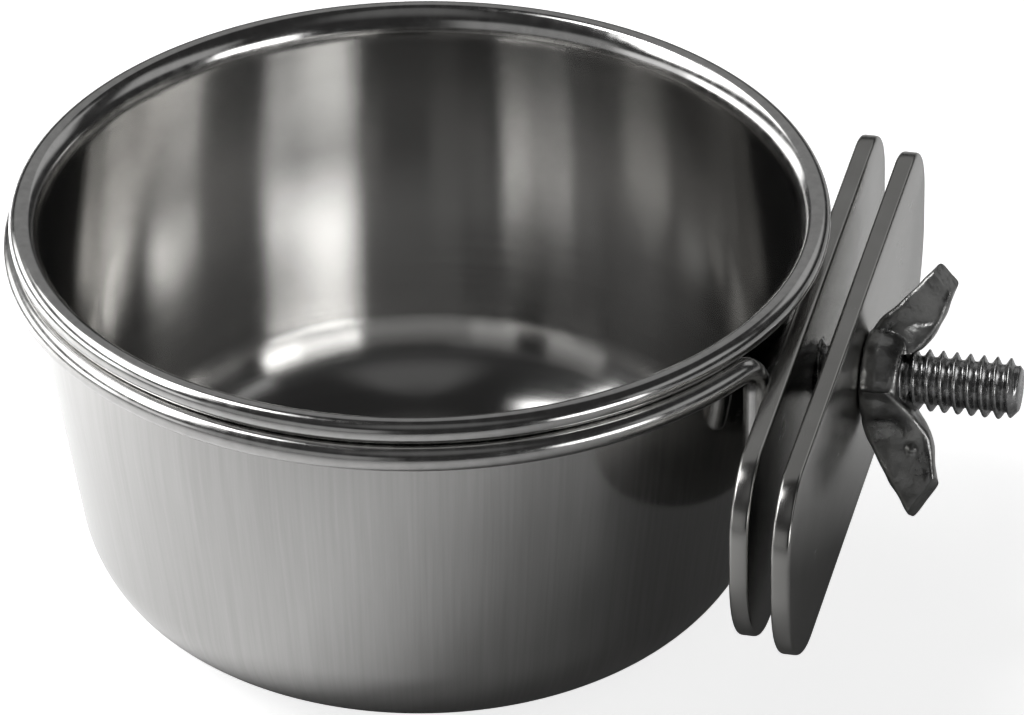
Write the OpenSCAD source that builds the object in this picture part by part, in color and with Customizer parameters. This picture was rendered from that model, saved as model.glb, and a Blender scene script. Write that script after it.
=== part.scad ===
// Small seed cup for a cage: a drawn cup that drops into a wire ring, and a clamp of two
// oblong plates, a threaded stud and a wing nut that grips the wires of the cage.
// The origin is the middle of the cup's base, +Z is up, and the clamp points along +X.

/* [Cup] */
// Outer diameter over the rolled rim
rim_d = 63.5; // [60:0.1:70]
// Thickness of the roll of the rim
bead_d = 2.0; // [1.8:0.1:2.2]
// Height of the cup from its base to the top of the rim
cup_h = 33.5; // [32.5:0.1:38]
// Thickness of the cup's sheet
cup_sheet = 0.6; // [0.5:0.05:0.7]
// How far the roll of the rim stands out from the wall below it
rim_proud = 1.95; // [1.8:0.05:2.1]
// Radius of the slow curve of the wall below the rim
wall_bow_r = 60; // [50:1:80]
// Slope of the straight part of the wall
wall_slope = 9; // [7:0.5:10]
// Radius of the corner between wall and base
corner_r = 9.2; // [8:0.1:11]

/* [Ring] */
// Diameter of the ring's wire
wire_d = 2.1; // [1.9:0.1:2.3]
// Free space between the wire and the cup's wall
ring_clear = 0.45; // [0.3:0.05:0.6]
// Radius at which the wire turns down into each leg
leg_bend_r = 2.4; // [2:0.1:3]
// Length of the straight part of each leg
leg_len = 5.5; // [4.5:0.1:7]

/* [Plates] */
// Length of each plate of the clamp
plate_w = 56; // [52:0.5:60]
// Height of each plate
plate_h = 17.4; // [16.8:0.1:19]
// Thickness of each plate
plate_t = 1.5; // [1.3:0.05:1.7]
// Radius of the two top corners of a plate
plate_top_r = 5.4; // [4:0.1:7]
// Radius of the two bottom corners of a plate
plate_bottom_r = 9.2; // [7:0.1:9.6]
// How far the top edge of the plates lies below the middle of the ring's wire
plate_drop = 1.0; // [0.8:0.1:1.6]
// Free space between the inner plate's top and the cup's wall
plate_clear = 0.25; // [0.2:0.05:0.5]
// Gap between the two plates
jaw_gap = 2.05; // [1.8:0.05:2.6]
// How far the inner plate sits to one side of the stud
inner_shift = 0.5; // [0:0.1:1]
// How far the outer plate sits to the same side of the stud
outer_shift = 2.4; // [1:0.1:2.6]

/* [Stud] */
// Diameter over the crests of the thread
thread_d = 4.8; // [4.6:0.1:5]
// Rise of the thread in one turn
thread_pitch = 1.058; // [1:0.01:1.2]
// Length of the stud that shows past the nut's hub
stud_past_nut = 9.1; // [8.8:0.1:10]
// Height of the stud's axis over the middle of the plates
stud_rise = 1.7; // [1:0.1:2]
// Free space round the stud in the hole of the outer plate
stud_hole_clear = 0.2; // [0.15:0.05:0.4]

/* [Wing nut] */
// Diameter of the nut's hub at the plate
hub_d = 7.7; // [7.4:0.1:8.6]
// Diameter of the nut's hub at its far end
hub_end_d = 7.1; // [6.8:0.1:7.4]
// Length of the nut's hub
hub_len = 3.0; // [2.8:0.1:3.6]
// Distance between the tips of the two wings
wing_span = 20.0; // [19:0.1:22]
// Thickness of a wing
wing_t = 2.1; // [1.7:0.1:2.4]
// Width of a wing at its rounded tip
wing_tip_w = 3.4; // [3:0.1:3.8]
// How far the wings reach out past the plate
wing_reach = 6.6; // [6:0.1:7.2]
// Free space between the wings' lower edge and the plate
wing_lift = 0.5; // [0.4:0.1:0.8]
// Lean of the wings from upright
wing_lean = 26; // [0:1:45]
// Free space between the nut's thread and the stud's
thread_clear = 0.14; // [0.12:0.01:0.16]

/* [Hidden] */

// Facets of large and of small round shapes, and steps of a drawn arc
fine = 96;
fine_small = 48;
fine_hull = 32;
arc_steps = 12;
// One overrun for every cut
over = 1;
// Running gap between pieces that rest on each other
seat_gap = 0.05;

// Cup
bead_r = bead_d / 2;
bead_c = rim_d / 2 - bead_r;
bead_z = cup_h - bead_r;
wall_top_r = rim_d / 2 - rim_proud;
neck_share = 0.4;
wall_top_z = bead_z - bead_r - bead_r * neck_share;
bow_low_z = wall_top_z - wall_bow_r * sin(wall_slope);
bow_low_r = wall_top_r - wall_bow_r * (1 - cos(wall_slope));
corner_top_z = corner_r * (1 - sin(wall_slope));
corner_top_r = bow_low_r - (bow_low_z - corner_top_z) * tan(wall_slope);
base_r = corner_top_r - corner_r * cos(wall_slope);

// Ring
wire_r = wire_d / 2;
wire_sides = 16;
ring_steps = 80;
ring_c = wall_top_r + ring_clear + wire_r;
ring_z = bead_z - sqrt(pow(bead_r + wire_r + seat_gap, 2) - pow(ring_c - bead_c, 2));

// Plates
plate_top_z = ring_z - plate_drop;
plate_z = plate_top_z - plate_h / 2;
inner_x = wall_r_at(plate_top_z) + plate_clear;
outer_x = inner_x + plate_t + jaw_gap;
// Straight part of a plate's end that its corners leave at least
plate_side_min = 0.4;
corner_share = min(1, (plate_h - plate_side_min) / (plate_top_r + plate_bottom_r));

// Welds and legs
weld_film = 0.06;
weld_depth = 0.65;
weld_side = 0.45;
weld_len_share = 0.8;
leg_x = inner_x - wire_r - weld_film;
leg_reach = sqrt(pow(ring_c, 2) + pow(leg_bend_r, 2));
ring_end = atan(leg_bend_r / ring_c) + acos(leg_x / leg_reach);
leg_y = ring_c * sin(ring_end) - leg_bend_r * cos(ring_end);
leg_top_z = ring_z - leg_bend_r;

// Stud and its thread
stud_z = plate_z + stud_rise;
crest_r = thread_d / 2;
thread_depth_share = 0.52;
root_flat_share = 0.275;
flank_share = 0.3;
crest_flat_share = 0.125;
thread_margin_share = 0.15;
root_r = crest_r - thread_pitch * thread_depth_share;
stud_weld_t = 0.3;
stud_weld_w = 0.9;
stud_start_x = inner_x - stud_weld_t;
shank_end_x = inner_x + plate_t;
thread_start_x = shank_end_x + thread_pitch * thread_margin_share;
tip_dip = 0.25;

// Nut
hub_x = outer_x + plate_t + seat_gap;
hub_end_x = hub_x + hub_len;
stud_end_x = hub_end_x + stud_past_nut;
wing_root_r_share = 0.42;
wing_root_place_share = 0.84;

// Radius of the cup's outside at a height on its bowed part
function wall_r_at(z) =
    wall_top_r - wall_bow_r + sqrt(pow(wall_bow_r, 2) - pow(wall_top_z - z, 2));

// Points of an arc about a centre, from one angle to another
function arc(cx, cy, r, a0, a1) =
    [for (i = [0:arc_steps]) let (a = a0 + (a1 - a0) * i / arc_steps)
        [cx + r * cos(a), cy + r * sin(a)]];

// The wall's outside, or its inside when a sheet's thickness is taken off, from base to rim
function wall_line(inset) = concat(
    arc(base_r, corner_r, corner_r - inset, -90, -wall_slope),
    arc(wall_top_r - wall_bow_r, wall_top_z, wall_bow_r - inset, -wall_slope, 0));

// Outline of a plate, its top corners tighter than its bottom ones
function plate_outline(w, h, rt, rb) = concat(
    arc(w / 2 - rt, h / 2 - rt, rt, 0, 90),
    arc(rt - w / 2, h / 2 - rt, rt, 90, 180),
    arc(rb - w / 2, rb - h / 2, rb, 180, 270),
    arc(w / 2 - rb, rb - h / 2, rb, 270, 360));

function reversed(list) = [for (i = [len(list) - 1:-1:0]) list[i]];

// Screw thread along +X as one closed mesh. The ridge starts at start_x, one pitch a turn, and
// the mesh runs from from_x to to_x. A shank, if it has a length, comes before from_x.
cols = 32;
ridge_shares = [0, root_flat_share, root_flat_share + flank_share,
                root_flat_share + flank_share + crest_flat_share];
ridge_n = len(ridge_shares);
function ring_points(x, r) =
    [for (i = [0:cols - 1]) [x, r * cos(360 * i / cols), r * sin(360 * i / cols)]];
function ridge_point(i, j, start_x, to_x, low_r, high_r, end_r) =
    let (k = j % ridge_n,
         x = start_x + thread_pitch * (i / cols + floor(j / ridge_n) + ridge_shares[k]),
         r = min(k < 2 ? low_r : high_r, end_r + to_x - x),
         a = 360 * i / cols)
    [x, r * cos(a), r * sin(a)];
module thread(start_x, from_x, to_x, low_r, high_r, shank_len, shank_r) {
    end_r = low_r - tip_dip;
    turns = floor((to_x - start_x) / thread_pitch - thread_margin_share) - 1;
    last = ridge_n * turns;
    shank_x = from_x - shank_len;
    shank = shank_len > 0 ? [ring_points(shank_x, shank_r), ring_points(from_x, shank_r)] : [];
    rows = concat(
        shank,
        [ring_points(from_x, low_r - seat_gap)],
        [for (j = [0:last])
            [for (i = [0:cols - 1])
                ridge_point(i, j, start_x, to_x, low_r, high_r, end_r)]],
        [ring_points(to_x, end_r)]);
    seam = [for (j = [last - ridge_n + 1:last])
        ridge_point(cols, j, start_x, to_x, low_r, high_r, end_r)];
    n_shank = len(shank);
    first = n_shank + 1;
    final = first + last;
    ends = [[rows[0][0][0], 0, 0], [to_x, 0, 0]];
    flat = [for (row = rows) each row];
    seam_at = len(flat);
    cap_at = seam_at + ridge_n;
    // Index of a point in column i, where the last column closes one turn further on
    function at(i, row) =
        i < cols ? row * cols + i
        : row < first || row > final ? row * cols
        : row <= final - ridge_n ? (row + ridge_n) * cols
        : seam_at + row - final + ridge_n - 1;
    skin = [for (row = [0:final]) for (i = [0:cols - 1])
        each [[at(i, row), at(i, row + 1), at(i + 1, row + 1)],
              [at(i, row), at(i + 1, row + 1), at(i + 1, row)]]];
    neck = at(0, first - 1);
    low = [for (j = [0:ridge_n]) at(0, first + j)];
    high = concat([at(0, final)], [for (j = [0:ridge_n - 1]) seam_at + j]);
    tip = at(0, final + 1);
    steps = [[low[4], low[3], low[2]], [low[4], low[2], low[1]], [low[4], low[1], neck],
             [low[1], low[0], neck],
             [high[1], high[2], high[3]], [high[1], high[3], high[4]],
             [high[1], high[4], tip], [high[0], high[1], tip]];
    caps = [for (i = [0:cols - 1])
        each [[cap_at, at(i, 0), at(i + 1, 0)],
              [cap_at + 1, at(i + 1, final + 1), at(i, final + 1)]]];
    polyhedron(points = concat(flat, seam, ends), faces = concat(skin, steps, caps));
}

// Place and cross directions of the wire at an angle round the cup. A turn of 0 stands in the
// first leg, 1 lies in the ring and 2 stands in the last leg; drop goes down a leg.
function wire_frame(a, turn, drop) =
    let (out = [cos(a), sin(a), 0],
         on = [-sin(a), cos(a), 0],
         side = [0, 0, sin(90 * turn)] - on * cos(90 * turn),
         hub = [ring_c * cos(a), ring_c * sin(a), leg_top_z - drop])
    [hub + side * leg_bend_r, out, side];

// A round wire as one closed mesh through a list of frames
module wire(frames) {
    last = len(frames) - 1;
    rim = [for (f = frames) for (k = [0:wire_sides - 1])
        let (a = 360 * k / wire_sides) f[0] + wire_r * (f[1] * cos(a) + f[2] * sin(a))];
    function at(i, k) = i * wire_sides + k % wire_sides;
    skin = [for (i = [0:last - 1]) for (k = [0:wire_sides - 1])
        each [[at(i, k), at(i, k + 1), at(i + 1, k + 1)],
              [at(i, k), at(i + 1, k + 1), at(i + 1, k)]]];
    caps = [for (k = [1:wire_sides - 2])
        each [[at(0, 0), at(0, k + 1), at(0, k)], [at(last, 0), at(last, k), at(last, k + 1)]]];
    polyhedron(points = rim, faces = concat(skin, caps));
}

// A plate upright across X, its lower left as seen from +X and its near face at x
module plate(x, y) {
    translate([x, y, plate_z])
        rotate([90, 0, 90])
            linear_extrude(plate_t)
                polygon(plate_outline(plate_w, plate_h, plate_top_r * corner_share,
                                      plate_bottom_r * corner_share));
}

// A round bar along X
module bar_x(x, y, z, r, length) {
    translate([x, y, z])
        rotate([0, 90, 0])
            cylinder(h = length, r = r, $fn = fine_small);
}

module cup() {
    color("silver")
        rotate_extrude($fn = fine) {
            polygon(concat(
                [[0, 0]],
                wall_line(0),
                [[bead_c, bead_z], [bead_c - bead_r * sin(45), bead_z + bead_r * cos(45)]],
                reversed(wall_line(cup_sheet)),
                [[0, cup_sheet]]));
            translate([bead_c, bead_z])
                circle(r = bead_r, $fn = fine_small);
        }
}

module holder_ring() {
    color("gainsboro")
        wire(concat(
            [wire_frame(ring_end, 0, leg_len)],
            [for (i = [0:arc_steps]) wire_frame(ring_end, i / arc_steps, 0)],
            [for (i = [1:ring_steps - 1])
                wire_frame(ring_end + (360 - 2 * ring_end) * i / ring_steps, 1, 0)],
            [for (i = [0:arc_steps]) wire_frame(360 - ring_end, 1 + i / arc_steps, 0)],
            [wire_frame(360 - ring_end, 2, leg_len)]));
}

module ring_welds() {
    color("dimgray")
        for (side = [-1, 1])
            translate([leg_x, side * leg_y, leg_top_z - leg_len])
                linear_extrude(leg_len * weld_len_share)
                    difference() {
                        translate([wire_r + weld_film - weld_depth, -wire_r - weld_side])
                            square([weld_depth, 2 * (wire_r + weld_side)]);
                        circle(r = wire_r, $fn = fine_small);
                    }
}

module inner_jaw() {
    color("lightgray")
        difference() {
            plate(inner_x, -inner_shift);
            bar_x(inner_x - over, 0, stud_z, crest_r + seat_gap, plate_t + 2 * over);
        }
}

module bolt_weld() {
    color("dimgray")
        translate([inner_x, 0, stud_z])
            rotate([0, -90, 0])
                rotate_extrude($fn = fine_small)
                    translate([crest_r, 0])
                        polygon([[0, 0], [stud_weld_w, 0], [stud_weld_w / 2, stud_weld_t / 2],
                                 [0, stud_weld_t]]);
}

module clamp_bolt() {
    color("darkgray")
        translate([0, 0, stud_z])
            thread(thread_start_x, shank_end_x, stud_end_x, root_r, crest_r,
                   shank_end_x - stud_start_x, crest_r);
}

module outer_jaw() {
    color("lightgray")
        difference() {
            plate(outer_x, -outer_shift);
            bar_x(outer_x - over, 0, stud_z, crest_r + stud_hole_clear, plate_t + 2 * over);
        }
}

// One wing as an upright slab that leans out from the hub to its rounded tip
module wing() {
    tip_r = wing_tip_w / 2;
    root_r_wing = hub_d * wing_root_r_share / 2;
    rotate([90, 0, 0])
        linear_extrude(wing_t, center = true)
            hull() {
                translate([wing_lift + root_r_wing, hub_d / 2 * wing_root_place_share])
                    circle(r = root_r_wing, $fn = fine_hull);
                translate([wing_reach - tip_r, wing_span / 2 - tip_r])
                    circle(r = tip_r, $fn = fine_hull);
            }
}

module wing_nut() {
    skip_turns = floor((hub_x - over - thread_start_x) / thread_pitch);
    cut_x = thread_start_x + thread_pitch * skip_turns;
    cut_turns = ceil((hub_end_x + over - cut_x) / thread_pitch);
    color("gray")
        translate([0, 0, stud_z])
            difference() {
                rotate([-wing_lean, 0, 0])
                    translate([hub_x, 0, 0]) {
                        rotate([0, 90, 0])
                            cylinder(h = hub_len, d1 = hub_d, d2 = hub_end_d,
                                     $fn = fine_small);
                        wing();
                        rotate([180, 0, 0])
                            wing();
                    }
                thread(cut_x, cut_x - thread_pitch * thread_margin_share,
                       cut_x + thread_pitch * (cut_turns + 1 + 2 * thread_margin_share),
                       root_r + thread_clear, crest_r + thread_clear, 0, 0);
            }
}

cup();
holder_ring();
ring_welds();
inner_jaw();
bolt_weld();
clamp_bolt();
outer_jaw();
wing_nut();
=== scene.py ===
"""Looks of a small cage seed cup: a drawn steel cup in a wire ring, with a clamp of two
plates, a threaded stud and a cast wing nut. Lengths below are in millimetres."""
import math
import bpy
import bmesh
from mathutils import Matrix, Vector, noise


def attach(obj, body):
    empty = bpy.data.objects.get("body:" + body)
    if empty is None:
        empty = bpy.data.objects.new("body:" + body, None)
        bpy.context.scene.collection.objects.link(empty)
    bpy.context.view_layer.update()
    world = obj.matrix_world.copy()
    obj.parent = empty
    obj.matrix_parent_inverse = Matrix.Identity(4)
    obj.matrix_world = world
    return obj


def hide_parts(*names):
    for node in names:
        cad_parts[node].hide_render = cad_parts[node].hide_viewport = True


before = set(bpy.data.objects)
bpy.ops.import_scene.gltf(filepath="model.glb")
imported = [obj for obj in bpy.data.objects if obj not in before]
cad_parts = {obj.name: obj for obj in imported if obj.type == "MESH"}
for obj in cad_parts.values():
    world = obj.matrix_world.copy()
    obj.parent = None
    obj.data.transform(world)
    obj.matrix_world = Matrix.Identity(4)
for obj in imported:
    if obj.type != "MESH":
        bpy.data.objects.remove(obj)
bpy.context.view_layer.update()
MM = 0.001

# Sizes of the cup, shared with the part
RIM_R = 31.75
BEAD_R = 1.0
BEAD_Z = 32.5
WALL_R = 29.8
WALL_TOP = 31.1
BOW_R = 60.0
SLOPE = math.radians(9)
CORNER_R = 9.2
BASE_R = 17.765
SHEET = 0.6
# Sizes of the ring
WIRE_R = 1.05
RING_R = 31.3
RING_Z = 30.473
RING_END = math.radians(27.284)
BEND_R = 2.4
LEG_LEN = 5.5
# Sizes of the plates
PLATE_W = 56.0
PLATE_H = 17.4
PLATE_T = 1.5
PLATE_TOP_R = 5.4
PLATE_BOTTOM_R = 9.2
PLATE_EDGE_R = 0.32
PLATE_Z = 20.773
INNER_X = 30.028
OUTER_X = 33.578
INNER_SHIFT = 0.5
OUTER_SHIFT = 2.4
# Sizes of the stud and the nut
STUD_Z = 22.473
CREST_R = 2.4
ROOT_R = 1.85
PITCH = 1.058
THREAD_X = 31.687
TIP_X = 47.228
HUB_X = 35.128
HUB_LEN = 3.0
LEAN = math.radians(26)
# Free space round the stud in the inner plate, the outer plate and the nut
WELD_FIT = 0.05
HOLE_CLEAR = 0.2
BORE_CLEAR = 0.06


# Camera: a long lens at the photograph's height and side, angles in radians
SIDE = 0.223
RISE = 0.565
TILT = -0.012
DISTANCE = 789.6
SHIFT_RIGHT = 6.795
SHIFT_UP = 16.452
SENSOR = 36
FRAME_PX = 1024
FOCAL_PX = 10000


def look():
    back = Vector((math.sin(SIDE) * math.cos(RISE), -math.cos(SIDE) * math.cos(RISE),
                   math.sin(RISE)))
    right = Vector((math.cos(SIDE), math.sin(SIDE), 0))
    up = back.cross(right)
    turned_right = right * math.cos(TILT) + up * math.sin(TILT)
    turned_up = up * math.cos(TILT) - right * math.sin(TILT)
    place = (back * DISTANCE + turned_right * SHIFT_RIGHT + turned_up * SHIFT_UP) * MM
    camera = bpy.data.objects.new("camera", bpy.data.cameras.new("camera"))
    axes = Matrix((turned_right, turned_up, back)).transposed()
    camera.matrix_world = Matrix.Translation(place) @ axes.to_4x4()
    camera.data.sensor_width = SENSOR
    camera.data.lens = SENSOR * FOCAL_PX / FRAME_PX
    camera.data.clip_start = 0.01
    camera.data.clip_end = 20
    bpy.context.collection.objects.link(camera)
    bpy.context.scene.camera = camera


look()


# Shader helpers
def feed(links, sockets, values):
    """Gives each socket its value, which is a number or another node's output."""
    for socket, value in zip(sockets, values):
        if isinstance(value, (int, float)):
            socket.default_value = value
        else:
            links.new(value, socket)


class Shader:
    """A node material on one Principled shader, with short names for common nodes."""

    def __init__(self, name, color, rough, metallic=1.0):
        self.material = bpy.data.materials.new(name)
        self.material.use_nodes = True
        self.nodes = self.material.node_tree.nodes
        self.links = self.material.node_tree.links
        self.shader = self.nodes["Principled BSDF"]
        self.shader.inputs["Metallic"].default_value = metallic
        self.shader.inputs["Base Color"].default_value = (*color, 1)
        self.shader.inputs["Roughness"].default_value = rough
        self.place = self.nodes.new("ShaderNodeTexCoord").outputs["Object"]

    def math(self, kind, a, b=0.0):
        node = self.nodes.new("ShaderNodeMath")
        node.operation = kind
        feed(self.links, node.inputs, (a, b))
        return node.outputs[0]

    def split(self):
        node = self.nodes.new("ShaderNodeSeparateXYZ")
        self.links.new(self.place, node.inputs[0])
        return node.outputs

    def join(self, x, y, z):
        node = self.nodes.new("ShaderNodeCombineXYZ")
        feed(self.links, node.inputs, (x, y, z))
        return node.outputs[0]

    def round_place(self, along, upright, outward):
        """Cylinder coordinates about Z, each stretched by its own rate per metre."""
        mean_radius = 0.03
        x, y, z = self.split()
        angle = self.math("ARCTAN2", y, x)
        radius = self.math("SQRT", self.math("ADD", self.math("POWER", x, 2.0),
                                             self.math("POWER", y, 2.0)))
        return self.join(self.math("MULTIPLY", angle, along * mean_radius),
                         self.math("MULTIPLY", z, upright),
                         self.math("MULTIPLY", radius, outward))

    def flat_place(self, x_rate, y_rate, z_rate):
        """Straight coordinates, each stretched by its own rate per metre."""
        x, y, z = self.split()
        return self.join(self.math("MULTIPLY", x, x_rate), self.math("MULTIPLY", y, y_rate),
                         self.math("MULTIPLY", z, z_rate))

    def noise(self, place, scale=1.0, detail=3.0, roughness=0.5):
        node = self.nodes.new("ShaderNodeTexNoise")
        node.inputs["Scale"].default_value = scale
        node.inputs["Detail"].default_value = detail
        node.inputs["Roughness"].default_value = roughness
        self.links.new(place, node.inputs["Vector"])
        return node.outputs["Fac"]

    def spread(self, value, low, high, out_low, out_high):
        node = self.nodes.new("ShaderNodeMapRange")
        self.links.new(value, node.inputs["Value"])
        for name, number in zip(("From Min", "From Max", "To Min", "To Max"),
                                (low, high, out_low, out_high)):
            node.inputs[name].default_value = number
        return node.outputs[0]

    def tint(self, value, low, high):
        node = self.nodes.new("ShaderNodeMix")
        node.data_type = "RGBA"
        self.links.new(value, node.inputs["Factor"])
        node.inputs["A"].default_value = (*low, 1)
        node.inputs["B"].default_value = (*high, 1)
        self.links.new(node.outputs["Result"], self.shader.inputs["Base Color"])

    def rough(self, value):
        self.links.new(value, self.shader.inputs["Roughness"])

    def bump(self, value, height, strength, under=None):
        """Bumps of a height in millimetres, on top of other bumps where those are given."""
        node = self.nodes.new("ShaderNodeBump")
        node.inputs["Distance"].default_value = height * MM
        node.inputs["Strength"].default_value = strength
        self.links.new(value, node.inputs["Height"])
        if under is not None:
            self.links.new(under, node.inputs["Normal"])
        self.links.new(node.outputs["Normal"], self.shader.inputs["Normal"])
        return node.outputs["Normal"]

    def brushed(self, amount, turn=0.0):
        """Stretches the gloss across marks that run round the Z axis."""
        node = self.nodes.new("ShaderNodeTangent")
        node.direction_type = "RADIAL"
        node.axis = "Z"
        self.links.new(node.outputs[0], self.shader.inputs["Tangent"])
        self.shader.inputs["Anisotropic"].default_value = amount
        self.shader.inputs["Anisotropic Rotation"].default_value = turn


def cup_outside():
    """Satin sheet with upright draw lines and a few faint smudges."""
    s = Shader("cup_outside", (0.62, 0.615, 0.605), 0.14)
    lines = s.noise(s.round_place(2600, 60, 0), 1.0, 4.0, 0.6)
    smudge = s.noise(s.place, 90.0, 4.0, 0.6)
    s.rough(s.math("ADD", s.spread(smudge, 0.3, 0.75, 0.1, 0.16),
                   s.spread(lines, 0.3, 0.8, -0.02, 0.03)))
    s.tint(s.spread(lines, 0.35, 0.7, 0, 1), (0.57, 0.565, 0.555), (0.64, 0.635, 0.625))
    waves = s.bump(s.noise(s.round_place(160, 40, 40), 1.0, 1.0), 0.008, 0.5)
    s.bump(lines, 0.0012, 0.5, waves)
    s.brushed(0.45)
    return s.material


def cup_inside():
    """Polished sheet with fine marks round the cup, painted brighter on its lower wall, with
    painted shade under the rim and on its floor.
    """
    s = Shader("cup_inside", (0.66, 0.655, 0.645), 0.2)
    marks = s.noise(s.round_place(30, 5200, 5200), 1.0, 3.0, 0.6)
    smudge = s.noise(s.place, 70.0, 3.0)
    s.rough(s.math("ADD", s.spread(smudge, 0.3, 0.75, 0.12, 0.15),
                   s.spread(marks, 0.3, 0.8, -0.01, 0.015)))
    height = s.split()[2]
    # Painted light by height: the lower wall is painted brighter, with painted shade under the
    # rim and painted shade on the floor
    painted_light_by_height = s.math("ADD", s.spread(height, 16 * MM, 28 * MM, 0.92, 0.0),
                    s.spread(height, 2 * MM, 6 * MM, -0.7, 0.0))
    s.tint(s.math("ADD", s.spread(marks, 0.3, 0.75, -0.06, 0.06), painted_light_by_height),
           (0.43, 0.426, 0.417), (0.86, 0.854, 0.842))
    waves = s.bump(s.noise(s.round_place(300, 12, 12), 1.0, 2.0), 0.006, 0.5)
    s.bump(marks, 0.0003, 0.4, waves)
    s.brushed(0.96, 0.25)
    return s.material


def polished(name, color, rough, wave, wave_scale):
    """Bright metal with soft waves and light wear."""
    s = Shader(name, color, rough)
    wear = s.noise(s.place, 900.0, 4.0, 0.6)
    s.rough(s.spread(wear, 0.3, 0.75, rough * 0.75, rough * 1.4))
    s.tint(s.spread(wear, 0.3, 0.7, 0, 1), tuple(c * 0.9 for c in color),
           tuple(min(1, c * 1.06) for c in color))
    waves = s.bump(s.noise(s.place, wave_scale, 2.0), wave, 0.6)
    s.bump(wear, 0.002, 0.4, waves)
    return s.material


def plate_steel():
    """Tumbled plate: satin faces with fine scratches both ways."""
    s = Shader("plate_steel", (0.48, 0.475, 0.46), 0.26)
    along = s.noise(s.flat_place(900, 300, 5200), 1.0, 4.0, 0.65)
    patch = s.noise(s.place, 160.0, 3.0)
    s.rough(s.math("ADD", s.spread(patch, 0.3, 0.75, 0.2, 0.27),
                   s.spread(along, 0.3, 0.8, -0.03, 0.04)))
    s.tint(s.spread(patch, 0.3, 0.7, 0, 1), (0.43, 0.425, 0.41), (0.52, 0.515, 0.5))
    waves = s.bump(patch, 0.05, 0.4)
    s.bump(along, 0.004, 0.3, waves)
    return s.material


def nut_metal():
    """Cast and plated metal: lumpy, half bright, dull in its hollows."""
    s = Shader("nut_metal", (0.4, 0.4, 0.395), 0.34)
    lumps = s.noise(s.place, 420.0, 4.0, 0.6)
    grain = s.noise(s.place, 2600.0, 3.0, 0.6)
    s.rough(s.spread(lumps, 0.3, 0.7, 0.24, 0.42))
    s.tint(s.spread(lumps, 0.35, 0.68, 0, 1), (0.3, 0.3, 0.295), (0.52, 0.52, 0.51))
    waves = s.bump(lumps, 0.25, 0.7)
    s.bump(grain, 0.03, 0.5, waves)
    return s.material


def bolt_steel():
    """Bright plated thread, darker in random patches, with small nicks."""
    s = Shader("bolt_steel", (0.5, 0.5, 0.5), 0.2)
    nicks = s.noise(s.place, 1500.0, 4.0, 0.7)
    s.rough(s.spread(nicks, 0.3, 0.75, 0.14, 0.34))
    s.tint(s.spread(nicks, 0.35, 0.65, 0, 1), (0.3, 0.3, 0.3), (0.6, 0.6, 0.6))
    s.bump(nicks, 0.05, 0.6)
    return s.material


def weld_metal():
    """Dull weld with small beads and a heat-darkened skin."""
    s = Shader("weld_metal", (0.3, 0.29, 0.28), 0.45)
    beads = s.noise(s.place, 1400.0, 3.0, 0.6)
    s.rough(s.spread(beads, 0.3, 0.7, 0.35, 0.6))
    s.tint(s.spread(beads, 0.3, 0.7, 0, 1), (0.2, 0.19, 0.185), (0.42, 0.4, 0.38))
    s.bump(beads, 0.12, 0.7)
    return s.material


# Mesh helpers
def piece(name, points, faces, materials, body, node, smooth_angle, kinds=None):
    """Makes a mesh from millimetre points, and stands it for a node of the frame."""
    mesh = bpy.data.meshes.new(name)
    mesh.from_pydata([Vector(p) * MM for p in points], [], faces)
    mesh.validate()
    for material in materials:
        mesh.materials.append(material)
    if kinds is not None:
        mesh.polygons.foreach_set("material_index", kinds)
    mesh.shade_smooth()
    mesh.set_sharp_from_angle(angle=math.radians(smooth_angle))
    made = bpy.data.objects.new(name, mesh)
    bpy.context.collection.objects.link(made)
    dress(made, body, node)
    return made


def dress(made, body, node):
    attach(made, body)
    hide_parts(node)


def apply_modifiers(made):
    graph = bpy.context.evaluated_depsgraph_get()
    done = bpy.data.meshes.new_from_object(made.evaluated_get(graph))
    made.modifiers.clear()
    made.data = done


def drill(made, x, r, depth):
    """Cuts a round hole about the stud's axis, and applies this and all earlier modifiers."""
    bpy.ops.mesh.primitive_cylinder_add(
        vertices=64, radius=r * MM, depth=depth * MM,
        location=(x * MM, 0, STUD_Z * MM), rotation=(0, math.pi / 2, 0))
    bit = bpy.context.active_object
    cut = made.modifiers.new("hole", "BOOLEAN")
    cut.operation = "DIFFERENCE"
    cut.object = bit
    apply_modifiers(made)
    bpy.data.objects.remove(bit)


def loft(bm, rings):
    """Joins rings of vertices with four-sided faces and closes both ends."""
    count = len(rings[0])
    for low, high in zip(rings, rings[1:]):
        for k in range(count):
            bm.faces.new((low[k], low[(k + 1) % count], high[(k + 1) % count], high[k]))
    bm.faces.new(list(reversed(rings[0])))
    bm.faces.new(rings[-1])


def arc(cx, cy, r, start, end, steps):
    return [(cx + r * math.cos(start + (end - start) * i / steps),
             cy + r * math.sin(start + (end - start) * i / steps)) for i in range(steps + 1)]


def curve(p0, p1, p2, p3, steps):
    """Points of a smooth curve from the first point to the last, pulled by the middle two."""
    out = []
    for i in range(steps + 1):
        t = i / steps
        weights = ((1 - t) ** 3, 3 * t * (1 - t) ** 2, 3 * t * t * (1 - t), t ** 3)
        out.append(tuple(sum(w * p[k] for w, p in zip(weights, (p0, p1, p2, p3)))
                         for k in (0, 1)))
    return out


# Cup
OUTSIDE, INSIDE, RIM = range(3)


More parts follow.
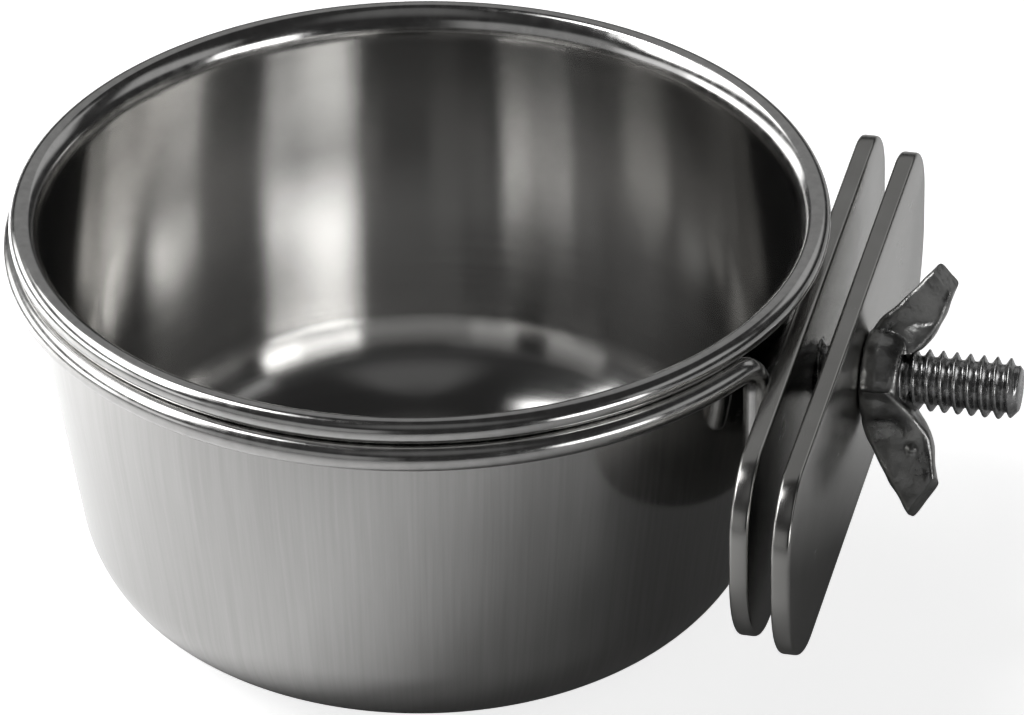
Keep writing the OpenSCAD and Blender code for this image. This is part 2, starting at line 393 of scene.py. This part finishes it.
def cup_profile():
    """Half of the cup's section as (radius, height) points, each with its finish."""
    axis_r = 0.001
    floor_shares = (0.5, 0.85)
    corner_steps = 30
    wall_steps = 24
    wall_end = 31.6
    bead_start = math.radians(-158)
    bead_end = math.radians(128)
    lip_pull = (0.45, 0.38)
    lip_low = 32.3
    inner_r = WALL_R - SHEET
    lip_as_inside = 3
    bead_c = RIM_R - BEAD_R
    bow_c = WALL_R - BOW_R
    outside = [(axis_r, 0.0)] + [(BASE_R * share, 0.0) for share in floor_shares]
    outside += arc(BASE_R, CORNER_R, CORNER_R, -math.pi / 2, -SLOPE, corner_steps)
    outside += arc(bow_c, WALL_TOP, BOW_R, -SLOPE, 0, wall_steps)[1:]
    outside += [(WALL_R, wall_end)]
    bead = arc(bead_c, BEAD_Z, BEAD_R, bead_start, bead_end, 40)
    last = bead[-1]
    lip = curve(last, (last[0] - lip_pull[0], last[1] - lip_pull[1]), (inner_r, lip_low),
                (inner_r, WALL_TOP), 12)[1:]
    inside = arc(bow_c, WALL_TOP, BOW_R - SHEET, 0, -SLOPE, wall_steps)[1:]
    inside += arc(BASE_R, CORNER_R, CORNER_R - SHEET, -SLOPE, -math.pi / 2, corner_steps)[1:]
    inside += [(BASE_R * share, SHEET) for share in reversed(floor_shares)] + [(axis_r, SHEET)]
    points = outside + bead + lip + inside
    finish = ([OUTSIDE] * len(outside) + [RIM] * (len(bead) + len(lip) - lip_as_inside)
              + [INSIDE] * (len(inside) + lip_as_inside))
    return points, finish


def make_cup():
    """Turns the section round the axis."""
    profile, finish = cup_profile()
    turns = 288
    points = [(r * math.cos(math.tau * i / turns), r * math.sin(math.tau * i / turns), z)
              for i in range(turns) for r, z in profile]
    n = len(profile)
    faces = []
    kinds = []
    for i in range(turns):
        for j in range(n - 1):
            a = i * n + j
            b = (i + 1) % turns * n + j
            faces.append((a, b, b + 1, a + 1))
            kinds.append(finish[j])
    rim = polished("cup_rim", (0.66, 0.655, 0.645), 0.14, 0.02, 300.0)
    piece("cup_shell", points, faces, [cup_outside(), cup_inside(), rim], "cup",
          "cup", 50, kinds)


# Wire ring
def wire_frames():
    """Places along the wire with two cross directions, from one leg's foot to the other's."""
    leg_top = RING_Z - BEND_R

    def at(angle, turn, drop=0.0):
        out = Vector((math.cos(angle), math.sin(angle), 0))
        on = Vector((-math.sin(angle), math.cos(angle), 0))
        quarter = math.pi / 2 * turn
        side = Vector((0, 0, math.sin(quarter))) - on * math.cos(quarter)
        hub = Vector((RING_R * math.cos(angle), RING_R * math.sin(angle), leg_top - drop))
        return hub + side * BEND_R, out, side

    far = math.tau - RING_END
    leg = 8
    bend = 16
    round_cup = 220
    frames = [at(RING_END, 0, LEG_LEN * (1 - i / leg)) for i in range(leg)]
    frames += [at(RING_END, i / bend) for i in range(bend)]
    frames += [at(RING_END + (far - RING_END) * i / round_cup, 1) for i in range(round_cup + 1)]
    frames += [at(far, 1 + i / bend) for i in range(1, bend + 1)]
    frames += [at(far, 2, LEG_LEN * i / leg) for i in range(1, leg + 1)]
    return frames


def make_wire():
    """One wire with rounded ends, each given as shares of its radius and how far up they lie."""
    sides = 28
    rings = []
    frames = wire_frames()
    ends = ((0.0, 0.0), (0.6, 0.08), (0.86, 0.2), (1.0, 0.42))
    start, end = frames[0], frames[-1]
    up = Vector((0, 0, 1))
    for share, rise in ends:
        rings.append((start[0] + up * rise, start[1], start[2], WIRE_R * share))
    rings += [(c, a, b, WIRE_R) for c, a, b in frames[1:-1]]
    for share, rise in reversed(ends):
        rings.append((end[0] + up * rise, end[1], end[2], WIRE_R * share))
    points = [c + (a * math.cos(math.tau * k / sides) + b * math.sin(math.tau * k / sides)) * r
              for c, a, b, r in rings for k in range(sides)]
    faces = [(i * sides + k, i * sides + (k + 1) % sides,
              (i + 1) * sides + (k + 1) % sides, (i + 1) * sides + k)
             for i in range(len(rings) - 1) for k in range(sides)]
    steel = polished("wire_steel", (0.64, 0.635, 0.625), 0.17, 0.03, 220.0)
    piece("wire_ring", points, [tuple(reversed(f)) for f in faces], [steel], "holder",
          "holder_ring", 60)


# Plates
def plate_outline():
    w = PLATE_W / 2
    h = PLATE_H / 2
    t = PLATE_TOP_R
    b = PLATE_BOTTOM_R
    top = 20
    bottom = 24
    quarter = math.pi / 2
    return (arc(w - t, h - t, t, 0, quarter, top) + arc(t - w, h - t, t, quarter, math.pi, top)
            + arc(b - w, b - h, b, math.pi, 3 * quarter, bottom)
            + arc(w - b, b - h, b, 3 * quarter, math.tau, bottom))


def make_plate(name, node, body, x, shift, hole_r, material):
    """A plate with rounded edges and a hole for the stud."""
    outline = plate_outline()
    n = len(outline)
    points = [(x + t, y - shift, z + PLATE_Z) for t in (0, PLATE_T) for y, z in outline]
    faces = [tuple(reversed(range(n))), tuple(range(n, 2 * n))]
    faces += [(i, (i + 1) % n, n + (i + 1) % n, n + i) for i in range(n)]
    made = piece(name, points, faces, [material], body, node, 25)
    edge = made.modifiers.new("edge", "BEVEL")
    edge.width = PLATE_EDGE_R * MM
    edge.segments = 4
    edge.limit_method = "ANGLE"
    edge.angle_limit = math.radians(60)
    drill(made, x + PLATE_T / 2, hole_r, 4 * PLATE_T)
    made.data.shade_smooth()
    made.data.set_sharp_from_angle(angle=math.radians(35))


# Stud, with the thread's root, flanks and crest as shares of one pitch
FLANK = 0.32
ROOT_END = 0.255
CREST_START = 0.575
CREST_END = 0.68


def thread_height(share):
    """Height of the thread from root to crest at a share of one pitch."""
    share %= 1.0
    if share < ROOT_END:
        return 0.0
    if share < CREST_START:
        return (share - ROOT_END) / FLANK
    if share < CREST_END:
        return 1.0
    return (1.0 - share) / FLANK


def make_stud():
    """Plain shank in the inner plate, then the thread, which narrows at its tip."""
    sides = 60
    steps = 14
    tip_r = ROOT_R - 0.2
    tip_slope = 1.1
    stands_out = 0.3
    start = INNER_X - stands_out
    shank_end = INNER_X + PLATE_T
    # Rows close to the shank's ends keep its edges crisp
    rows = [start, start + 0.05, shank_end - 0.02]
    count = int((TIP_X - shank_end) / PITCH * steps)
    rows += [shank_end + (TIP_X - shank_end) * i / count for i in range(count + 1)]
    points = []
    for x in rows:
        for k in range(sides):
            angle = math.tau * k / sides
            r = CREST_R
            if x >= shank_end:
                share = (x - THREAD_X) / PITCH - k / sides
                r = ROOT_R + (CREST_R - ROOT_R) * thread_height(share)
                r = min(r, tip_r + (TIP_X - x) * tip_slope)
            points.append((x, r * math.cos(angle), STUD_Z + r * math.sin(angle)))
    n = len(rows)
    faces = [(i * sides + k, (i + 1) * sides + k, (i + 1) * sides + (k + 1) % sides,
              i * sides + (k + 1) % sides) for i in range(n - 1) for k in range(sides)]
    faces = [tuple(reversed(f)) for f in faces]
    faces.append(tuple(reversed(range(sides))))
    faces.append(tuple(range((n - 1) * sides, n * sides)))
    piece("threaded_stud", points, faces, [bolt_steel()], "holder", "clamp_bolt",
          70)


# Wing nut: the hub's section as (distance from its seat, radius)
HUB_PROFILE = ((0.0, 3.2), (0.12, 3.4), (0.5, 3.65), (1.2, 3.75), (2.2, 3.62), (2.8, 3.4),
               (HUB_LEN, 3.15))
# Edges of a wing as reach along the stud and distance from its axis, from the hub outwards:
# the edge on the plate's side and the free one
PLATE_EDGES = {1: ((0.2, 1.8), (0.4, 3.8), (2.5, 6.2), (4.8, 8.9), (5.6, 9.9)),
               -1: ((0.1, 1.0), (0.15, 3.9), (1.9, 7.1), (4.2, 10.3), (4.9, 11.3))}
FREE_EDGES = {1: ((2.6, 1.2), (4.3, 2.4), (5.6, 4.6), (6.35, 7.1), (6.65, 8.4)),
              -1: ((2.6, 0.8), (4.4, 2.7), (5.7, 4.6), (6.1, 7.0), (6.8, 8.8))}
# A point and a direction of the flat that ends each wing
WING_ENDS = {1: ((5.4, -1.05, 7.6), (0.62, -0.38, 0.68)),
             -1: ((6.2, -1.05, -7.1), (0.8, -0.31, -0.5))}
BLADE_T = 2.1
HOLLOW = 0.35
# Crease of the upper wing: a point on it, its slope, and its step, sharpness and rise
CREASE_REACH = 2.3
CREASE_FAR = 3.7
CREASE_SLOPE = 0.35
CREASE_STEP = 0.3
CREASE_SHARP = 6
CREASE_RISE = 0.45
# Swelling at the root of the lower wing: its thickness, where it ends and its length
ROOT_SWELL = 3.8
ROOT_FAR = 5.2
ROOT_LEN = 3.2


def hub_mesh(bm):
    sides = 48
    loft(bm, [[bm.verts.new((HUB_X + x, r * math.cos(math.tau * k / sides),
                             r * math.sin(math.tau * k / sides))) for k in range(sides)]
              for x, r in HUB_PROFILE])


def along_edge(spots, share):
    """A place on the smooth curve through the spots, at a share of its length."""
    place = share * (len(spots) - 1)
    i = min(int(place), len(spots) - 2)
    t = place - i
    before = spots[max(i - 1, 0)]
    start = spots[i]
    end = spots[i + 1]
    after = spots[min(i + 2, len(spots) - 1)]
    return [0.5 * (2 * p1 + (p2 - p0) * t + (2 * p0 - 5 * p1 + 4 * p2 - p3) * t * t
                   + (3 * p1 - p0 - 3 * p2 + p3) * t ** 3)
            for p0, p1, p2, p3 in zip(before, start, end, after)]


def wing_thickness(side, reach, far, across):
    """Blade with hollow faces. One wing has a crease that runs out from the hub, and the
    other swells into the hub."""
    blade = BLADE_T - HOLLOW * (1 - across * across)
    if side == 1:
        behind = max(CREASE_FAR + (reach - CREASE_REACH) * CREASE_SLOPE - far, 0.0)
        return blade + CREASE_STEP * min(behind * CREASE_SHARP, 1.0) + CREASE_RISE * behind
    return blade + ROOT_SWELL * (max(ROOT_FAR - far, 0.0) / ROOT_LEN) ** 2


def wing_mesh(bm, side):
    """A wing lofted through rounded box sections between its two edges."""
    corners = 40
    stations = 30
    flat_power = 0.5
    side_power = 0.45
    rings = []
    for i in range(stations + 1):
        near = along_edge(PLATE_EDGES[side], i / stations)
        free = along_edge(FREE_EDGES[side], i / stations)
        ring = []
        for k in range(corners):
            angle = math.tau * k / corners
            c, s = math.cos(angle), math.sin(angle)
            across = math.copysign(abs(c) ** flat_power, c)
            reach = near[0] + (free[0] - near[0]) * (across + 1) / 2
            far = near[1] + (free[1] - near[1]) * (across + 1) / 2
            half = wing_thickness(side, reach, far, across) / 2
            depth = math.copysign(abs(s) ** side_power, s) * half
            ring.append(bm.verts.new((HUB_X + reach, depth, far * side)))
        rings.append(ring)
    loft(bm, rings)


def nub_mesh(bm):
    """Small mark that the casting's gate left on one wing."""
    place = (HUB_X + 4.2, -0.62, -5.3)
    made = bmesh.ops.create_icosphere(bm, subdivisions=3, radius=0.52)
    bmesh.ops.translate(bm, verts=made["verts"], vec=place)


def cut_flat(mesh, spot, direction):
    """Cuts a closed mesh flat at a plane and closes it again."""
    bm = bmesh.new()
    bm.from_mesh(mesh)
    everything = bm.verts[:] + bm.edges[:] + bm.faces[:]
    done = bmesh.ops.bisect_plane(bm, geom=everything, plane_co=spot, plane_no=direction,
                                  clear_outer=True)
    edges = [e for e in done["geom_cut"] if isinstance(e, bmesh.types.BMEdge)]
    bmesh.ops.holes_fill(bm, edges=edges, sides=0)
    bm.to_mesh(mesh)
    bm.free()


def solid(name, build):
    bm = bmesh.new()
    build(bm)
    bmesh.ops.recalc_face_normals(bm, faces=bm.faces)
    mesh = bpy.data.meshes.new(name)
    bm.to_mesh(mesh)
    bm.free()
    made = bpy.data.objects.new(name, mesh)
    bpy.context.collection.objects.link(made)
    return made


def make_nut():
    """Hub, wings and gate mark joined as one casting, then cut flat, bored and turned."""
    grain = 0.12
    lump_rate = 0.8
    lump_height = 0.09
    hub = solid("nut_body", hub_mesh)
    wings = [solid("wing", lambda bm, side=side: wing_mesh(bm, side)) for side in (1, -1)]
    wings.append(solid("nub", nub_mesh))
    for wing in wings:
        join = hub.modifiers.new("join", "BOOLEAN")
        join.operation = "UNION"
        join.object = wing
    apply_modifiers(hub)
    for wing in wings:
        bpy.data.objects.remove(wing)
    remesh = hub.modifiers.new("cast", "REMESH")
    remesh.mode = "VOXEL"
    remesh.voxel_size = grain
    relax = hub.modifiers.new("relax", "SMOOTH")
    relax.iterations = 5
    relax.factor = 0.6
    apply_modifiers(hub)
    for vertex in hub.data.vertices:
        swell = noise.noise(vertex.co * lump_rate) * lump_height
        vertex.co += vertex.normal * swell
        vertex.co.x = max(vertex.co.x, HUB_X)
    for spot, direction in WING_ENDS.values():
        cut_flat(hub.data, Vector(spot) + Vector((HUB_X, 0, 0)), Vector(direction))
    hub.data.transform(Matrix.Rotation(-LEAN, 4, "X"))
    hub.data.transform(Matrix.Translation((0, 0, STUD_Z)))
    hub.data.transform(Matrix.Scale(MM, 4))
    drill(hub, HUB_X, CREST_R + BORE_CLEAR, depth=20)
    hub.data.materials.clear()
    hub.data.materials.append(nut_metal())
    hub.data.shade_smooth()
    hub.data.set_sharp_from_angle(angle=math.radians(50))
    dress(hub, "wing_nut", "wing_nut")


# Welds
def lump(bm, centre, size, seed):
    """One uneven bead of weld."""
    made = bmesh.ops.create_icosphere(bm, subdivisions=4, radius=1.0)
    unevenness = 0.16
    rate = 1.7
    for vertex in made["verts"]:
        swell = 1 + unevenness * noise.noise(vertex.co * rate + Vector((seed, 0, 0)))
        vertex.co = Vector(c + v * s * swell for c, v, s in zip(centre, vertex.co, size))


def make_welds():
    """Beads on both sides of each leg, and a ring of beads round the stud's end."""
    leg_y = RING_R * math.sin(RING_END) - BEND_R * math.cos(RING_END)
    leg_x = INNER_X - 0.3
    leg_z = RING_Z - BEND_R - LEG_LEN + 2.3
    beside = 1.02
    leg_bead = (0.42, 0.46, 2.0)
    stud_x = INNER_X - 0.04
    collar_r = 2.7
    beads = 9
    stud_bead = (0.24, 0.62, 0.62)

    def legs(bm):
        for side in (-1, 1):
            for edge in (-1, 1):
                centre = (leg_x, side * leg_y + edge * beside, leg_z)
                lump(bm, centre, leg_bead, side * 3 + edge)

    welds = solid("leg_welds", legs)

    def collar(bm):
        for k in range(beads):
            angle = math.tau * k / beads
            centre = (stud_x, collar_r * math.cos(angle), STUD_Z + collar_r * math.sin(angle))
            lump(bm, centre, stud_bead, k * 2.3)

    stud = solid("stud_weld", collar)
    metal = weld_metal()
    for made, node in ((welds, "ring_welds"), (stud, "bolt_weld")):
        made.data.transform(Matrix.Scale(MM, 4))
        made.data.materials.append(metal)
        made.data.shade_smooth()
        dress(made, "holder", node)


make_cup()
make_wire()
steel = plate_steel()
make_plate("inner_plate", "inner_jaw", "holder", INNER_X, INNER_SHIFT, CREST_R + WELD_FIT, steel)
make_plate("outer_plate", "outer_jaw", "outer_jaw", OUTER_X, OUTER_SHIFT, CREST_R + HOLE_CLEAR,
           steel)
make_stud()
make_nut()
make_welds()


# Stage
def sheet(name, half, height, shade, glow):
    """A square sheet at a height, pale, with a glow that keeps it evenly white."""
    mesh = bpy.data.meshes.new(name)
    corners = [(-half, -half), (half, -half), (half, half), (-half, half)]
    mesh.from_pydata([(x, y, height) for x, y in corners], [], [(0, 1, 2, 3)])
    s = Shader(name, (shade, shade, shade), 0.9, 0.0)
    s.tint(s.noise(s.place, 30.0), (shade, shade, shade), (shade * 1.01,) * 3)
    s.shader.inputs["Specular IOR Level"].default_value = 0.0
    s.shader.inputs["Emission Color"].default_value = (1, 1, 1, 1)
    s.shader.inputs["Emission Strength"].default_value = glow
    mesh.materials.append(s.material)
    made = bpy.data.objects.new(name, mesh)
    bpy.context.collection.objects.link(made)
    return made


def camera_only(made):
    """Leaves a part of the stage to the camera, so that it neither lights nor mirrors."""
    made.visible_glossy = False
    made.visible_diffuse = False
    made.visible_shadow = False


def make_stage():
    """The floor that the camera sees, the table that the metal mirrors, and a pale backdrop."""
    half = 1.5
    floor = sheet("floor", half, height=0.0, shade=0.8, glow=0.78)
    camera_only(floor)
    table = sheet("table", half, height=-0.1 * MM, shade=0.4, glow=0.0)
    table.visible_camera = False
    table.visible_diffuse = False
    lit = bpy.data.collections.new("lit_table")
    lit.objects.link(table)
    bm = bmesh.new()
    bmesh.ops.create_icosphere(bm, subdivisions=4, radius=6.0)
    mesh = bpy.data.meshes.new("backdrop")
    bm.to_mesh(mesh)
    bm.free()
    s = Shader("backdrop", (0.8, 0.8, 0.8), 0.9, 0.0)
    s.tint(s.noise(s.place, 1.0), (0.8, 0.8, 0.8), (0.81, 0.81, 0.81))
    s.shader.inputs["Emission Color"].default_value = (1, 1, 1, 1)
    s.shader.inputs["Emission Strength"].default_value = 1.0
    mesh.materials.append(s.material)
    dome = bpy.data.objects.new("backdrop", mesh)
    bpy.context.collection.objects.link(dome)
    camera_only(dome)
    return lit


def table_lamp(lit, place, size, power):
    """A lamp that lights the table alone, so the metal mirrors its fall-off and shadow."""
    light = bpy.data.lights.new("table_lamp", "AREA")
    light.shape = "DISK"
    light.size = size * MM
    light.energy = power
    made = bpy.data.objects.new("table_lamp", light)
    made.location = Vector(place) * MM
    made.rotation_euler = made.location.to_track_quat("Z", "Y").to_euler()
    bpy.context.collection.objects.link(made)
    made.light_linking.receiver_collection = lit
    made.visible_glossy = False


# Softboxes of the studio: azimuth from the camera's side (to the right is more) and elevation,
# each from and to, how soft the edges are, all in degrees, and the strength
SOFTBOXES = (
    (-140, -112, 30, 50, 8, 2.7),
    (-112, -100, 30, 50, 8, 2.7),
    (-100, -75, 30, 50, 8, 4.4),
    (-125, -104, 50, 72, 8, 4.8),
    (-104, -86, 50, 72, 8, 5.5),
    (-60, -10, 0, 28, 10, 0.25),
    (-140, -110, 0, 16, 8, 2.6),
    (-110, -85, 0, 16, 8, 2.9),
    (-85, -60, 0, 16, 8, 0.9),
    (36, 60, 2, 18, 6, 3.6),
    (60, 100, 20, 40, 8, 0.35),
    (120, 150, 15, 38, 8, 0.4),
    (150, 230, 12, 60, 10, 0.22),
    (-25, 35, 48, 82, 24, 0.1),
)
AMBIENT = 0.03
LAMP_PLACE = (-128, 55, 82)
LAMP_SIZE = 110
LAMP_POWER = 0.71


def make_world():
    """Dim surroundings with the softboxes, fixed to the photograph's side."""
    world = bpy.data.worlds.new("studio")
    bpy.context.scene.world = world
    world.use_nodes = True
    nodes = world.node_tree.nodes
    links = world.node_tree.links

    def maths(kind, a, b=0.0, c=0.0):
        node = nodes.new("ShaderNodeMath")
        node.operation = kind
        feed(links, node.inputs, (a, b, c))
        return node.outputs[0]

    def edge(value, low, high):
        node = nodes.new("ShaderNodeMapRange")
        node.interpolation_type = "SMOOTHSTEP"
        links.new(value, node.inputs["Value"])
        node.inputs["From Min"].default_value = low
        node.inputs["From Max"].default_value = high
        return node.outputs[0]

    turn = nodes.new("ShaderNodeVectorRotate")
    turn.rotation_type = "Z_AXIS"
    turn.inputs["Angle"].default_value = -SIDE
    links.new(nodes.new("ShaderNodeTexCoord").outputs["Generated"], turn.inputs["Vector"])
    parts = nodes.new("ShaderNodeSeparateXYZ")
    links.new(turn.outputs["Vector"], parts.inputs[0])
    x, y, z = parts.outputs
    side = maths("DEGREES", maths("ARCTAN2", x, maths("MULTIPLY", y, -1.0)))
    rise = maths("DEGREES", maths("ARCSINE", z))
    total = None
    for from_side, to_side, low, high, soft, strength in SOFTBOXES:
        middle = (from_side + to_side) / 2
        half = (to_side - from_side) / 2
        turned = maths("WRAP", maths("SUBTRACT", side, middle), 180.0, -180.0)
        away = maths("ABSOLUTE", turned)
        across = edge(away, half + soft / 2, half - soft / 2)
        up = maths("MULTIPLY", edge(rise, low - soft / 2, low + soft / 2),
                   edge(rise, high + soft / 2, high - soft / 2))
        box = maths("MULTIPLY", maths("MULTIPLY", across, up), strength)
        total = box if total is None else maths("ADD", total, box)
    back = nodes["Background"]
    back.inputs["Color"].default_value = (1, 1, 1, 1)
    links.new(maths("ADD", total, AMBIENT), back.inputs["Strength"])


lit_table = make_stage()
table_lamp(lit_table, LAMP_PLACE, LAMP_SIZE, LAMP_POWER)
make_world()
bpy.context.scene.view_settings.view_transform = "Standard"
